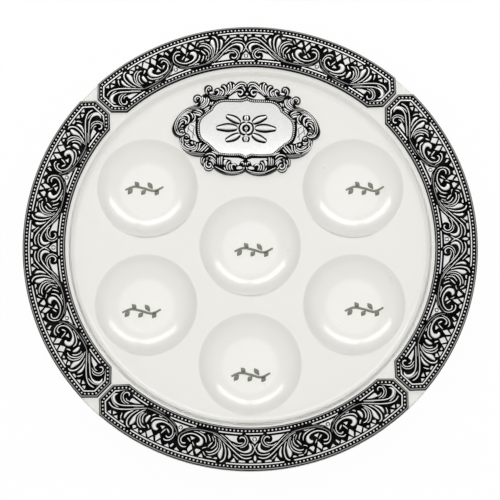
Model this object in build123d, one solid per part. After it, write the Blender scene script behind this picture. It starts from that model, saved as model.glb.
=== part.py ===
from build123d import *
import math
import os

# All lengths are in millimetres and all angles in degrees. The plate stands on Z = 0 with its middle on
# the Z axis. The back of the plate, where the cartouche sits, faces +Y.

# Glass plate
plate_diameter = 400.0
glass_thickness = 4.0
rim_width = 38.5
rim_rise = 6.0
slope_run = 9.5
slope_shoulder_under_radius = 1.5

# Wells, set in a hexagon whose back place is left to the cartouche
well_gap = 13.5
well_edge_margin = 0.5
well_depth = 11.0
well_wall_run = 26.0
well_lip_under_radius = 1.0
outer_well_bearings = {"back_right": 30, "back_left": 150, "front_left": 210, "front": 270, "front_right": 330}

# Stampings: what the rim plaques and the cartouche have in common
stamping_height = 3.6
metal_thickness = 0.8
relief_depth = 1.3
shell_wall = 1.0
edge_bevel = 0.8

# Rim plaques
plaque_bearings = {"back": 90, "left": 180, "front": 270, "right": 0}
plaque_ring_turn = 1.25
plaque_outer_margin = 0.3
plaque_inner_margin = 1.1
plaque_end_slit = 2.0
plaque_end_chamfer = 10.0
edge_rail_width = 1.4
bead_channel_width = 3.4
bead_channel_depth = 1.0
inner_rail_width = 1.5
inner_rail_drop = 0.5

# Cartouche
cartouche_width = 132.8
cartouche_slope_clearance = 0.5
cartouche_shift = -3.6
cartouche_lift = 1.0
cartouche_turn = -1.2
cartouche_field_width = 82.2
cartouche_field_height = 52.7
cartouche_pocket_width = 100.0
cartouche_pocket_height = 60.0

# Foam tape strips in the hollow backs of the stampings
plaque_strip_places = {"left": 1, "middle": 0, "right": -1}
plaque_strip_length = 52.0
plaque_strip_width = 16.0
cartouche_strip_places = {"upper": 1, "lower": -1}
cartouche_strip_length = 60.0
cartouche_strip_width = 12.0
cartouche_strip_gap = 8.0

# Sizes that follow from the ones above
plate_radius = plate_diameter / 2
rim_inner_radius = plate_radius - rim_width
field_radius = rim_inner_radius - slope_run
well_radius = (field_radius - well_gap - well_edge_margin) / 3
well_pitch = 2 * well_radius + well_gap
floor_height = glass_thickness
field_height = floor_height + well_depth
rim_height = field_height + rim_rise
plaque_span = 360 / len(plaque_bearings)
plaque_outer_radius = plate_radius - plaque_outer_margin
plaque_inner_radius = rim_inner_radius + plaque_inner_margin
plaque_middle_radius = (plaque_outer_radius + plaque_inner_radius) / 2
plaque_border = edge_rail_width + bead_channel_width + inner_rail_width
hollow_depth = stamping_height - relief_depth - metal_thickness
cartouche_height = 2 * (field_radius - well_pitch - cartouche_lift - cartouche_slope_clearance)

# Cartouche outline, right half from top to bottom: where each lobe starts, as shares of the half width and
# the half height, and how far the lobe swells, as a share of its chord
cartouche_lobes = (
    (0.000, 0.918, 0.30),
    (0.158, 0.916, 0.37),
    (0.280, 0.902, 0.39),
    (0.358, 0.827, 0.38),
    (0.444, 0.718, -0.05),
    (0.508, 0.711, 3.00),
    (0.548, 0.718, 0.10),
    (0.614, 0.653, 0.72),
    (0.681, 0.511, -0.10),
    (0.720, 0.456, 0.14),
    (1.000, -0.033, 0.18),
    (0.904, -0.204, 0.22),
    (0.593, -0.589, 0.22),
    (0.560, -0.791, 0.39),
    (0.428, -0.824, 0.17),
    (0.000, -0.876, 0.00),
)
# Cartouche field, the same way: a cusp at top and bottom and a notched corner between
field_lobes = (
    (0.000, 1.000, -0.08),
    (0.145, 0.920, 0.07),
    (0.640, 0.800, -0.04),
    (0.747, 0.576, 0.08),
    (0.947, 0.280, 0.15),
    (0.947, -0.280, 0.08),
    (0.747, -0.576, -0.04),
    (0.640, -0.800, 0.07),
    (0.145, -0.920, -0.08),
    (0.000, -1.000, 0.00),
)


def rising_pair(start, run, rise, shoulder_radius, depth):
    """Two tangent arcs that climb from level to level, depth below a surface that starts at start.

    The first arc is hollow and the second is the rounded shoulder, whose radius is measured on the surface.
    """
    steepest = 2 * math.atan2(rise, run)
    hollow_radius = run / math.sin(steepest) - shoulder_radius
    first = Vector(start[0], start[1] - depth)
    turn = Vector(
        start[0] + hollow_radius * math.sin(steepest) + depth * math.sin(steepest),
        start[1] + hollow_radius * (1 - math.cos(steepest)) - depth * math.cos(steepest),
    )
    last = Vector(start[0] + run, start[1] + rise - depth)
    slant = (math.cos(steepest), math.sin(steepest))
    hollow = TangentArc(first, turn, tangent=(1, 0))
    shoulder = TangentArc(turn, last, tangent=slant)
    return [hollow, shoulder]


def turned_solid(edges):
    """The solid of revolution about Z of an outline drawn as radius against height."""
    return revolve(Plane.XZ * make_face(edges), Axis.Z)


def glass_dish():
    """The plate without its wells: field, slope and flat rim with a rounded edge."""
    shoulder_radius = slope_shoulder_under_radius + glass_thickness
    foot = (field_radius, field_height)
    under_field = field_height - glass_thickness
    under_rim = rim_height - glass_thickness
    edge_start = plate_radius - glass_thickness / 2
    edges = [
        Line((0, field_height), foot),
        *rising_pair(foot, slope_run, rim_rise, shoulder_radius, 0),
        Line((rim_inner_radius, rim_height), (edge_start, rim_height)),
        ThreePointArc(
            (edge_start, rim_height),
            (plate_radius, rim_height - glass_thickness / 2),
            (edge_start, under_rim),
        ),
        Line((edge_start, under_rim), (rim_inner_radius, under_rim)),
        *rising_pair(foot, slope_run, rim_rise, shoulder_radius, glass_thickness),
        Line((field_radius, under_field), (0, under_field)),
        Line((0, under_field), (0, field_height)),
    ]
    return turned_solid(edges)


def well_cup():
    """One well about the Z axis: flat floor, hollow wall and rounded lip, all of the glass thickness."""
    lip_radius = well_lip_under_radius + glass_thickness
    floor_radius = well_radius - well_wall_run
    floor_edge = (floor_radius, floor_height)
    under_floor = floor_height - glass_thickness
    under_field = field_height - glass_thickness
    edges = [
        Line((0, floor_height), floor_edge),
        *rising_pair(floor_edge, well_wall_run, well_depth, lip_radius, 0),
        Line((well_radius, field_height), (well_radius, under_field)),
        *rising_pair(floor_edge, well_wall_run, well_depth, lip_radius, glass_thickness),
        Line((floor_radius, under_floor), (0, under_floor)),
        Line((0, under_floor), (0, floor_height)),
    ]
    return turned_solid(edges)


def glass_plate():
    """The pressed glass plate, with each well let into a round opening of the field."""
    well_places = [Pos(0, 0, 0)]
    for bearing in outer_well_bearings.values():
        well_places.append(Rot(0, 0, bearing) * Pos(well_pitch, 0, 0))
    opening = Pos(0, 0, field_height - glass_thickness) * extrude(Circle(well_radius), glass_thickness)
    cup = well_cup()
    plate = glass_dish() - [place * opening for place in well_places]
    return plate + [place * cup for place in well_places]


def plaque_outline(inset):
    """Outline of the back rim plaque, moved inwards by inset: a band of arcs with chamfered ends."""
    outer = plaque_outer_radius - inset
    inner = plaque_inner_radius + inset
    end = plaque_end_slit / 2 + inset
    cut = plaque_end_chamfer - (2 - math.sqrt(2)) * inset
    slit = math.radians(90 - plaque_span / 2)
    along = Vector(math.cos(slit), math.sin(slit))
    across = Vector(-math.sin(slit), math.cos(slit))
    right = [
        along * math.sqrt(outer**2 - (end + cut) ** 2) + across * (end + cut),
        along * (outer - cut) + across * end,
        along * (inner + cut) + across * end,
        along * math.sqrt(inner**2 - (end + cut) ** 2) + across * (end + cut),
    ]
    left = [Vector(-point.X, point.Y) for point in right]
    edges = [
        ThreePointArc(right[0], (0, outer), left[0]),
        Polyline(*left),
        ThreePointArc(left[3], (0, inner), right[3]),
        Polyline(*reversed(right)),
    ]
    return make_face(edges)


def bevelled_block(outline, inner_outline):
    """A block of the stampings' height over outline, whose top edge is bevelled back to inner_outline."""
    wall_height = stamping_height - edge_bevel
    top = loft([Pos(0, 0, wall_height) * outline, Pos(0, 0, stamping_height) * inner_outline], ruled=True)
    return extrude(outline, wall_height) + top


def rim_plaque():
    """One stamped plaque over the back rim: bevelled edge rail, bead channel, inner rail, panel, hollow back."""
    channel = plaque_outline(edge_rail_width) - plaque_outline(edge_rail_width + bead_channel_width)
    within_channel = plaque_outline(edge_rail_width + bead_channel_width)
    channel_cut = extrude(Pos(0, 0, stamping_height - bead_channel_depth) * channel, bead_channel_depth)
    rail_cut = extrude(Pos(0, 0, stamping_height - inner_rail_drop) * within_channel, inner_rail_drop)
    panel_cut = extrude(Pos(0, 0, stamping_height - relief_depth) * plaque_outline(plaque_border), relief_depth)
    hollow_cut = extrude(plaque_outline(shell_wall), hollow_depth)
    block = bevelled_block(plaque_outline(0), plaque_outline(edge_bevel))
    return Pos(0, 0, rim_height) * (block - channel_cut - rail_cut - panel_cut - hollow_cut)


def plaque_strip(place):
    """One foam strip in the hollow of the back plaque, a step of the plaque's thirds along the arc."""
    bearing = place * plaque_span / len(plaque_strip_places)
    strip = extrude(Rectangle(plaque_strip_length, plaque_strip_width), hollow_depth)
    return Rot(0, 0, bearing) * Pos(0, plaque_middle_radius, rim_height) * strip


def lobed_face(lobes, width, height):
    """A face with mirrored halves, each a chain of arcs that start at the given shares of the half sizes."""
    points = [Vector(x * width / 2, y * height / 2) for x, y, swell in lobes]
    swells = [swell for x, y, swell in lobes]
    edges = []
    for start, end, swell in zip(points, points[1:], swells):
        arc = SagittaArc(start, end, swell * (end - start).length)
        edges += [arc, mirror(arc, about=Plane.YZ)]
    return make_face(edges)


def cartouche_place():
    """Where the cartouche lies on the field, in the back place of the hexagon."""
    return Pos(cartouche_shift, well_pitch + cartouche_lift, field_height) * Rot(0, 0, cartouche_turn)


def cartouche_plaque():
    """The stamped cartouche: scalloped outline, sunk field and an oval hollow in its back."""
    outline = lobed_face(cartouche_lobes, cartouche_width, cartouche_height)
    field = lobed_face(field_lobes, cartouche_field_width, cartouche_field_height)
    pocket = Ellipse(cartouche_pocket_width / 2, cartouche_pocket_height / 2)
    field_cut = extrude(Pos(0, 0, stamping_height - relief_depth) * field, relief_depth)
    shell = extrude(outline, stamping_height) - field_cut - extrude(pocket, hollow_depth)
    return cartouche_place() * shell


def cartouche_strip(side):
    """One foam strip behind the cartouche, above or below its middle."""
    offset = side * (cartouche_strip_width + cartouche_strip_gap) / 2
    strip = extrude(Rectangle(cartouche_strip_length, cartouche_strip_width), hollow_depth)
    return cartouche_place() * Pos(0, offset, 0) * strip


def all_parts():
    """Every piece by its node name."""
    parts = {"glass_plate": glass_plate()}
    for side, bearing in plaque_bearings.items():
        turn = Rot(0, 0, bearing - 90 + plaque_ring_turn)
        parts[f"rim_plaque_{side}"] = turn * rim_plaque()
        for place_name, place in plaque_strip_places.items():
            parts[f"foam_strip_{side}_{place_name}"] = turn * plaque_strip(place)
    parts["cartouche_plaque"] = cartouche_plaque()
    for strip_name, side in cartouche_strip_places.items():
        parts[f"foam_strip_cartouche_{strip_name}"] = cartouche_strip(side)
    return parts


os.makedirs("parts", exist_ok=True)
for name, part in all_parts().items():
    export_step(part, os.path.join("parts", f"{name}.step"))
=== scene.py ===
import math
import bmesh
import bpy
from mathutils import Matrix, Vector
from mathutils.geometry import delaunay_2d_cdt


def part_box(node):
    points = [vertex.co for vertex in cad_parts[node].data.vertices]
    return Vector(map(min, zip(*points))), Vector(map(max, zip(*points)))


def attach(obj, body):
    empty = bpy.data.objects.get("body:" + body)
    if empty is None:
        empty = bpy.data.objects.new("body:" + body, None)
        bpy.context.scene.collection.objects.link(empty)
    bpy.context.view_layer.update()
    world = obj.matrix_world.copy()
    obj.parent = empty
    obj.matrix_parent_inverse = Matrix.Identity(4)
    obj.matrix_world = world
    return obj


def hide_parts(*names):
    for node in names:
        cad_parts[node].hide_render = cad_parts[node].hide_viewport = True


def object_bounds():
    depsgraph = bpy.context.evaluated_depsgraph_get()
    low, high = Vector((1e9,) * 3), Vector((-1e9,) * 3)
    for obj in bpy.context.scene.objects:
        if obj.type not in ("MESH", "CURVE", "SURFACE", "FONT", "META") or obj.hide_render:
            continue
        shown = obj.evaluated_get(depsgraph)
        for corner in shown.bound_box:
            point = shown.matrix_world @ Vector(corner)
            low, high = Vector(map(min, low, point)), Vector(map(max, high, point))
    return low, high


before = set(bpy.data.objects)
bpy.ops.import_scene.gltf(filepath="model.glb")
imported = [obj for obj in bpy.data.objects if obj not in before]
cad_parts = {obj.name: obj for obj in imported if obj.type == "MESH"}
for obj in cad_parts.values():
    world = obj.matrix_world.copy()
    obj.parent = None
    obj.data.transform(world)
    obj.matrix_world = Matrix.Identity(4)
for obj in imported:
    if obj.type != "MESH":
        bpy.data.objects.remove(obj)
cad_low, cad_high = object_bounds()

# Blender works in metres. Every length named below is in millimetres and every angle in degrees.
MM = 0.001

# Levels and radii that the frame gives
plate_radius = min(cad_high.x, cad_high.y, -cad_low.x, -cad_low.y) / MM
rim_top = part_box("rim_plaque_back")[0].z / MM
stamping_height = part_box("rim_plaque_back")[1].z / MM - rim_top
field_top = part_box("cartouche_plaque")[0].z / MM

# Glass plate
glass_thickness = 4.0
rim_width = 38.5
slope_run = 9.5
slope_shoulder_radius = 5.5
well_radius = 46.0
well_pitch = 105.5
well_depth = field_top - glass_thickness
well_wall_run = 26.0
well_lip_radius = 2.2
well_lip_under_radius = 1.0
well_bearings = {"back_right": 30, "back_left": 150, "front_left": 210, "front": 270, "front_right": 330}
flat_margin = 0.2

# How finely the glass is divided: the corners of a ring, and the steps of an arc
plate_corners = 240
well_corners = 96
well_arc_steps = 9
slope_arc_steps = 6
edge_arc_steps = 8

# A face lies in a hole if its middle is within this share of the radius, or of its square for the pocket
well_hole_share = 0.999
pocket_hole_share = 0.995

# How light the glass's colour is painted: at large, and on the first rings of a well from its floor's edge
# outwards. The darker inner walls of the wells are painted shade, and their paler floors are painted light.
glass_painted_lightness = 0.55
well_painted_lightness = (1.0, 1.0, 0.4, 0.3, 0.3, 0.3, 0.3, 0.3, 0.3, 0.3)

# Stampings
relief_depth = 1.3
ground_height = stamping_height - relief_depth
hollow_depth = 1.5
hollow_polish = 0.3
shell_wall = 1.0
edge_bevel = 0.8
sharp_angle = 50.0

# Ridges of the ornament. The blunt end is a share of the width, and polish starts at a share of the height.
relief_ceiling = 1.2
stroke_step = 0.55
taper_length = 1.0
blunt_end = 0.02
arch_points = 9
ridge_polish_start = 0.55
ridge_polish_growth = 2.9

# Beads. Where a bead is cut off and where its polish starts are shares of its radius.
bead_segments = 8
bead_rings = 6
bead_cut = -0.1
bead_flattening = 0.7
bead_polish_start = 0.25
bead_polish_growth = 2.5

# Layers of an ornament: the polish, steepness and lift of strokes, and the height and polish of patches. A
# low polish is mostly oxide, but the dim ridges' grey on the plaques' stems and the dark Shades over the
# rails are painted shade.
stroke_layers = {"Ridges": (1.0, 1.05, 0.0), "Dull Ridges": (0.4, 0.9, 0.0), "Grooves": (0.0, 0.2, 0.1)}
patch_layers = {"Grounds": (0.12, 0.95), "Shades": (0.36, 0.0)}

# Rim plaques: a quarter ring each, with chamfered ends
plaque_bearings = {"back": 90, "left": 180, "front": 270, "right": 0}
plaque_ring_turn = 1.25
plaque_outer_radius = 199.7
plaque_inner_radius = 162.6
plaque_middle_radius = (plaque_outer_radius + plaque_inner_radius) / 2
plaque_arc_steps = 72
plaque_end_slit = 2.0
plaque_end_chamfer = 10.0
plaque_border = 6.15
plaque_trim = 4.2
plaque_line_share = 0.5
bead_inset = 3.1
bead_pitch = 3.3
bead_radius = 0.92
bead_channel_depth = 1.0

# Cartouche
cartouche_width = 132.8
cartouche_height = 90.0
cartouche_shift = -3.6
cartouche_lift = 1.0
cartouche_turn = -1.2
cartouche_line_share = 0.66
cartouche_field_width = 83.0
cartouche_field_height = 52.7
cartouche_field_bevel = 0.3
cartouche_field_sink = 0.09
cartouche_field_polish = 0.97
cartouche_pocket_width = 100.0
cartouche_pocket_height = 60.0
cartouche_pocket_corners = 96
lobe_step = 0.8
moulding_offset = 1.2
moulding_bead_pitch = 1.8
moulding_bead_radius = 0.78
moulding_bead_lift = 0.2
rosette_outline = 2.0

# Printed marks
mark_step = 0.6
ink_thickness = 0.03
ink_gap = 0.01

# Camera and studio
camera_tilt = 12.8
camera_distance = 1708.0
camera_aim = (-0.2, -5.5, rim_top)
camera_lens = 140.0
camera_sensor = 36.0
softbox_places = {"left_softbox": (-430.0, 850.0, 850.0), "right_softbox": (430.0, 850.0, 850.0)}
softbox_width = 860.0
softbox_depth = 360.0
softbox_power = 2.7
floor_half_width = 4000.0
floor_drop = 0.2
floor_glow = 0.97
paper = (0.88, 0.88, 0.87, 1)
white = (1.0, 1.0, 1.0, 1)

# Brightness of the surroundings: as a light, and as a mirror shows them overhead and at the horizon
ambient_level = 0.74
mirrored_overhead = 1.0
mirrored_horizon = 0.14
horizon_fade = 1.4


# Node tools

class Link:
    """A node's output that Python arithmetic can use: each operation adds one Math node."""

    def __init__(self, tree, socket):
        self.tree = tree
        self.socket = socket

    def out(self, key):
        """Another output of the same node."""
        return Link(self.tree, self.socket.node.outputs[key])

    def math(self, operation, *values):
        """A Math node's result, with this link as its first value."""
        return self.tree.add("ShaderNodeMath", dict(enumerate((self, *values))), operation=operation)

    def clamped(self):
        """This value, held between zero and one."""
        return self.math("MAXIMUM", 0.0).math("MINIMUM", 1.0)

    def __add__(self, other):
        return self.math("ADD", other)

    def __sub__(self, other):
        return self.math("SUBTRACT", other)

    def __rsub__(self, other):
        return self.math("MULTIPLY_ADD", -1.0, other)

    def __mul__(self, other):
        return self.math("MULTIPLY", other)

    def __truediv__(self, other):
        return self.math("DIVIDE", other)

    __radd__ = __add__
    __rmul__ = __mul__


class Tree:
    """A node tree with one method that adds any node, and a few for common ones."""

    def __init__(self, tree):
        self.tree = tree

    def add(self, kind, sockets=None, **settings):
        """Adds a node, sets it up, fills its sockets with numbers or links, and returns its first output."""
        node = self.tree.nodes.new(kind)
        for name, value in settings.items():
            setattr(node, name, value)
        for key, value in (sockets or {}).items():
            for item in value if isinstance(value, list) else [value]:
                if isinstance(item, Link):
                    self.tree.links.new(item.socket, node.inputs[key])
                else:
                    node.inputs[key].default_value = item
        return Link(self, node.outputs[0]) if node.outputs else None

    def place(self):
        """A point's place in the object's own coordinates."""
        return self.add("ShaderNodeTexCoord").out("Object")

    def attribute(self, name):
        """A value that the mesh carries."""
        return self.add("ShaderNodeAttribute", attribute_name=name).out("Fac")

    def noise(self, place, scale, detail):
        """A noise value of about a half, with features of one over scale."""
        return self.add("ShaderNodeTexNoise", {"Vector": place, "Scale": scale, "Detail": detail})

    def bump(self, height, strength, distance):
        """A normal that follows a height."""
        sockets = {"Strength": strength, "Distance": distance * MM, "Height": height}
        return self.add("ShaderNodeBump", sockets)

    def mix_colours(self, factor, first, second):
        """A blend of two colours."""
        return self.add("ShaderNodeMix", {0: factor, 6: first, 7: second}, data_type="RGBA").out(2)


def geometry_tree(name, inputs):
    """A Geometry Nodes tree with the named inputs, and a link from each of them."""
    group = bpy.data.node_groups.new(name, "GeometryNodeTree")
    group.interface.new_socket("Geometry", in_out="INPUT", socket_type="NodeSocketGeometry")
    for label, kind in inputs.items():
        group.interface.new_socket(label, in_out="INPUT", socket_type=kind)
    group.interface.new_socket("Geometry", in_out="OUTPUT", socket_type="NodeSocketGeometry")
    tree = Tree(group)
    entry = tree.add("NodeGroupInput")
    return tree, {label: entry.out(label) for label in ("Geometry", *inputs)}


def finished_tree(tree, geometry, material):
    """Closes a tree: realized, smooth, with its material."""
    real = tree.add("GeometryNodeRealizeInstances", {"Geometry": geometry})
    smooth = tree.add("GeometryNodeSetShadeSmooth", {"Geometry": real})
    painted = tree.add("GeometryNodeSetMaterial", {"Geometry": smooth, "Material": material})
    tree.add("NodeGroupOutput", {"Geometry": painted})


def grown_mesh(name, tree, values, start=None):
    """The plain mesh that a tree makes from its input values and a starting mesh."""
    carrier = bpy.data.objects.new(name, start or bpy.data.meshes.new(name))
    bpy.context.scene.collection.objects.link(carrier)
    modifier = carrier.modifiers.new("growth", "NODES")
    modifier.node_group = tree.tree
    for item in tree.tree.interface.items_tree:
        if item.in_out == "INPUT" and item.name in values:
            modifier[item.identifier] = values[item.name]
    depsgraph = bpy.context.evaluated_depsgraph_get()
    shown = carrier.evaluated_get(depsgraph)
    mesh = bpy.data.meshes.new_from_object(shown, preserve_all_data_layers=True, depsgraph=depsgraph)
    mesh.name = name
    bpy.data.objects.remove(carrier)
    return mesh


def placed_piece(name, mesh, slot, *nodes):
    """A finished piece from a mesh that is already in place, standing for some nodes of the frame."""
    piece = bpy.data.objects.new(name, mesh)
    bpy.context.scene.collection.objects.link(piece)
    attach(piece, "root")
    if nodes:
        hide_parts(*nodes)


# Materials

def new_material(name):
    """A material with an empty node tree, and that tree."""
    material = bpy.data.materials.new(name)
    material.use_nodes = True
    material.node_tree.nodes.clear()
    return material, Tree(material.node_tree)


def finished_material(material, tree, sockets):
    """Closes a material with one Principled shader."""
    shader = tree.add("ShaderNodeBsdfPrincipled", sockets)
    tree.add("ShaderNodeOutputMaterial", {"Surface": shader})
    return material


def antique_silver():
    """Silver plate, dark where the polish attribute is low and bright where it is high: mostly oxide in the
    hollows and polish on the high spots, with painted shade on the plaques' outer walls and stems and a
    painted highlight along their edges.
    """
    material, tree = new_material("antique_silver")
    oxide_and_shade = (0.0015, 0.0015, 0.0015, 1)
    bright = (0.8, 0.8, 0.785, 1)
    place = tree.place()
    rubbing = tree.noise(place, scale=420.0, detail=3.0)
    grime = tree.noise(place, scale=90.0, detail=4.0)
    scratches = tree.noise(place, scale=2600.0, detail=2.0)
    polish = tree.attribute("polish")
    shine = (polish * (0.88 + 0.18 * rubbing) + (grime - 0.5) * 0.05).clamped()
    return finished_material(material, tree, {
        "Base Color": tree.mix_colours(shine, oxide_and_shade, bright),
        "Metallic": shine * 0.95,
        "Roughness": 0.52 - 0.24 * shine + 0.06 * (rubbing - 0.5),
        "Specular IOR Level": 0.02,
        "Normal": tree.bump(scratches, strength=0.05, distance=0.2),
    })


def pressed_glass():
    """Pressed glass with a warm cast and a slightly wavy surface, paler where clearness is high: painted
    shade on the wells' walls and painted light on their floors.
    """
    material, tree = new_material("pressed_glass")
    shaded_glass = (0.845, 0.833, 0.79, 1)
    lit_glass = (0.96, 0.95, 0.91, 1)
    place = tree.place()
    waves = tree.noise(place, scale=45.0, detail=1.0)
    haze = tree.noise(place, scale=160.0, detail=3.0)
    return finished_material(material, tree, {
        "Base Color": tree.mix_colours(tree.attribute("clearness"), shaded_glass, lit_glass),
        "Roughness": 0.25 + 0.1 * haze,
        "IOR": 1.5,
        "Transmission Weight": 0.86,
        "Specular IOR Level": 0.2,
        "Coat Weight": 1.0,
        "Coat Roughness": 0.02,
        "Normal": tree.bump(waves, strength=0.08, distance=0.8),
    })


def foam_tape():
    """White closed-cell foam with fine pores."""
    material, tree = new_material("foam_tape")
    clean = (0.86, 0.86, 0.83, 1)
    stained = (0.74, 0.74, 0.71, 1)
    place = tree.place()
    pores = tree.add("ShaderNodeTexVoronoi", {"Vector": place, "Scale": 1400.0})
    stains = tree.noise(place, scale=120.0, detail=3.0)
    return finished_material(material, tree, {
        "Base Color": tree.mix_colours(stains, clean, stained),
        "Roughness": 0.85 - 0.1 * pores,
        "Normal": tree.bump(pores, strength=0.4, distance=0.3),
    })


def printed_ink():
    """Matt grey-green ink, a little thin in places."""
    material, tree = new_material("printed_ink")
    full = (0.19, 0.205, 0.155, 1)
    thin = (0.27, 0.285, 0.22, 1)
    thinning = tree.noise(tree.place(), scale=700.0, detail=3.0)
    return finished_material(material, tree, {
        "Base Color": tree.mix_colours(thinning, full, thin),
        "Roughness": 0.45 + 0.2 * thinning,
    })


silver = antique_silver()
glass = pressed_glass()
foam = foam_tape()
ink = printed_ink()


# Mesh tools

def skin(bm, rings):
    """Quads between neighbouring rings of vertices."""
    for lower, upper in zip(rings, rings[1:]):
        for step in range(len(lower)):
            after = (step + 1) % len(lower)
            bm.faces.new((lower[step], lower[after], upper[after], upper[step]))


def flat_fill(bm, rings, is_open):
    """Fills the flat sheet between rings of vertices with triangles, but not where is_open(x, y) is true."""
    only_inside = 1
    merge_distance = 1e-9
    corners = [corner for ring in rings for corner in ring]
    places = [corner.co.xy for corner in corners]
    edges = []
    for ring in rings:
        start = len(edges)
        edges += [(start + step, start + (step + 1) % len(ring)) for step in range(len(ring))]
    _, _, triangles, sources, _, _ = delaunay_2d_cdt(places, edges, [], only_inside, merge_distance)
    for triangle in triangles:
        face = [corners[sources[number][0]] for number in triangle]
        middle = sum((corner.co for corner in face), Vector()) / 3 / MM
        if not is_open(middle.x, middle.y):
            bm.faces.new(face)


def polished_ring(bm, points, height, polish):
    """Vertices along points at a height, with their polish and painted light."""
    layer = bm.verts.layers.float["polish"]
    ring = [bm.verts.new(Vector((*point, height)) * MM) for point in points]
    for vertex in ring:
        vertex[layer] = polish
    return ring


def closed_mesh(bm, name):
    """The mesh of a closed shell, with its faces turned outwards."""
    bmesh.ops.recalc_face_normals(bm, faces=bm.faces)
    mesh = bpy.data.meshes.new(name)
    bm.to_mesh(mesh)
    bm.free()
    return mesh


# Glass plate

def arc_pair(run, rise, shoulder_radius):
    """The steepest angle of two tangent arcs that climb from level to level, and the lower arc's radius."""
    steepest = 2 * math.atan2(rise, run)
    return steepest, run / math.sin(steepest) - shoulder_radius


def rising_pair(start, run, rise, shoulder_radius, depth, steps):
    """Points of two tangent arcs that climb from level to level, depth below a surface, from its start."""
    steepest, hollow_radius = arc_pair(run, rise, shoulder_radius)
    hollow_reach = hollow_radius + depth
    hollow_level = start[1] + hollow_radius
    shoulder_reach = shoulder_radius - depth
    shoulder_level = start[1] + rise - shoulder_radius
    angles = [steepest * step / steps for step in range(steps + 1)]
    points = []
    for angle in angles:
        radius = start[0] + hollow_reach * math.sin(angle)
        points.append((radius, hollow_level - hollow_reach * math.cos(angle)))
    for angle in reversed(angles[:-1]):
        radius = start[0] + run - shoulder_reach * math.sin(angle)
        points.append((radius, shoulder_level + shoulder_reach * math.cos(angle)))
    return points


def turned_rings(bm, profile, centre, corners):
    """Rings of vertices about a centre, one for each radius and height of the profile, skinned with quads."""
    rings = []
    for radius, height in profile:
        ring = []
        for step in range(corners):
            angle = 2 * math.pi * step / corners
            place = (centre[0] + radius * math.cos(angle), centre[1] + radius * math.sin(angle), height)
            ring.append(bm.verts.new(Vector(place) * MM))
        rings.append(ring)
    skin(bm, rings)
    return rings


def well_centres():
    """The middle of each well, by name."""
    centres = {"middle": Vector((0.0, 0.0))}
    for name, bearing in well_bearings.items():
        angle = math.radians(bearing)
        centres[name] = Vector((math.cos(angle), math.sin(angle))) * well_pitch
    return centres


def well_profile(depth):
    """Radius and height from a well's floor edge to the flat field, depth below the upper surface."""
    floor_edge = (well_radius - well_wall_run, glass_thickness)
    lip_radius = well_lip_under_radius + depth if depth else well_lip_radius
    wall = rising_pair(floor_edge, well_wall_run, well_depth, lip_radius, depth, well_arc_steps)
    return [*wall, (well_radius + flat_margin, field_top - depth)]


def slope_profile(depth):
    """Radius and height from the field to the flat rim, depth below the upper surface."""
    field_radius = plate_radius - rim_width - slope_run
    foot = (field_radius, field_top)
    rise = rim_top - field_top
    slope = rising_pair(foot, slope_run, rise, slope_shoulder_radius, depth, slope_arc_steps)
    return [(field_radius - flat_margin, field_top - depth), *slope]


def glass_plate():
    """The pressed glass plate: a field with six wells, a slope and a flat rim with a rounded edge."""
    bm = bmesh.new()
    clearness = bm.verts.layers.float.new("clearness")
    half = glass_thickness / 2
    edge = []
    for step in range(edge_arc_steps + 1):
        angle = math.pi * (0.5 - step / edge_arc_steps)
        edge.append((plate_radius - half + half * math.cos(angle), rim_top - half + half * math.sin(angle)))
    outside = [*slope_profile(0), *edge, *reversed(slope_profile(glass_thickness))]
    rings = turned_rings(bm, outside, (0, 0), plate_corners)
    centres = well_centres().values()
    hole_radius = (well_radius + flat_margin) * well_hole_share

    def in_well(x, y):
        """Whether a place on the field lies in a well."""
        return any((Vector((x, y)) - centre).length < hole_radius for centre in centres)

    wells = []
    for field_ring, depth in ((rings[0], 0), (rings[-1], glass_thickness)):
        borders = [field_ring]
        for centre in centres:
            well = turned_rings(bm, well_profile(depth), centre, well_corners)
            bm.faces.new(well[0])
            borders.append(well[-1])
            wells.append(well)
        flat_fill(bm, borders, in_well)
    # Painted light and shade: the glass gets one lightness at large, then the wells' floors paler and their
    # inner walls darker
    for vertex in bm.verts:
        vertex[clearness] = glass_painted_lightness
    for well in wells:
        for ring, share in zip(well, well_painted_lightness):
            for vertex in ring:
                vertex[clearness] = share
    mesh = closed_mesh(bm, "glass_plate_pressed")
    mesh.shade_smooth()
    mesh.materials.append(glass)
    placed_piece("glass_plate_pressed", mesh, "glass", "glass_plate")


# Relief: what the stampings' ornament is made of

def with_widths(stroke):
    """A stroke's points with a width each: a point without one keeps the width of the point before it."""
    width = 1.0
    for x, y, *given in stroke:
        width = given[0] if given else width
        yield x, y, width


def stroke_curves(name, strokes, closed=False):
    """A scratch curve object with a spline for each stroke."""
    data = bpy.data.curves.new(name, "CURVE")
    data.dimensions = "3D"
    for stroke in strokes.values():
        spline = data.splines.new("POLY")
        spline.points.add(len(stroke) - 1)
        spline.use_cyclic_u = closed
        for point, (x, y, width) in zip(spline.points, with_widths(stroke)):
            point.co = (x * MM, y * MM, 0.0, 1.0)
            point.radius = width * MM
    curves = bpy.data.objects.new(name, data)
    bpy.context.scene.collection.objects.link(curves)
    return curves


def scratch_geometry(tree, curves):
    """The geometry of a scratch curve object."""
    return tree.add("GeometryNodeObjectInfo", {"Object": curves}).out("Geometry")


def smooth_strokes(tree, strokes, step):
    """Smooth upright curves through the strokes' points, with a point at every step."""
    curves = scratch_geometry(tree, strokes)
    smooth = tree.add("GeometryNodeCurveSplineType", {"Curve": curves}, spline_type="CATMULL_ROM")
    dense = tree.add("GeometryNodeResampleCurve", {"Curve": smooth, "Length": step}, mode="LENGTH")
    return tree.add("GeometryNodeSetCurveNormal", {"Curve": dense}, mode="Z_UP")


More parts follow.
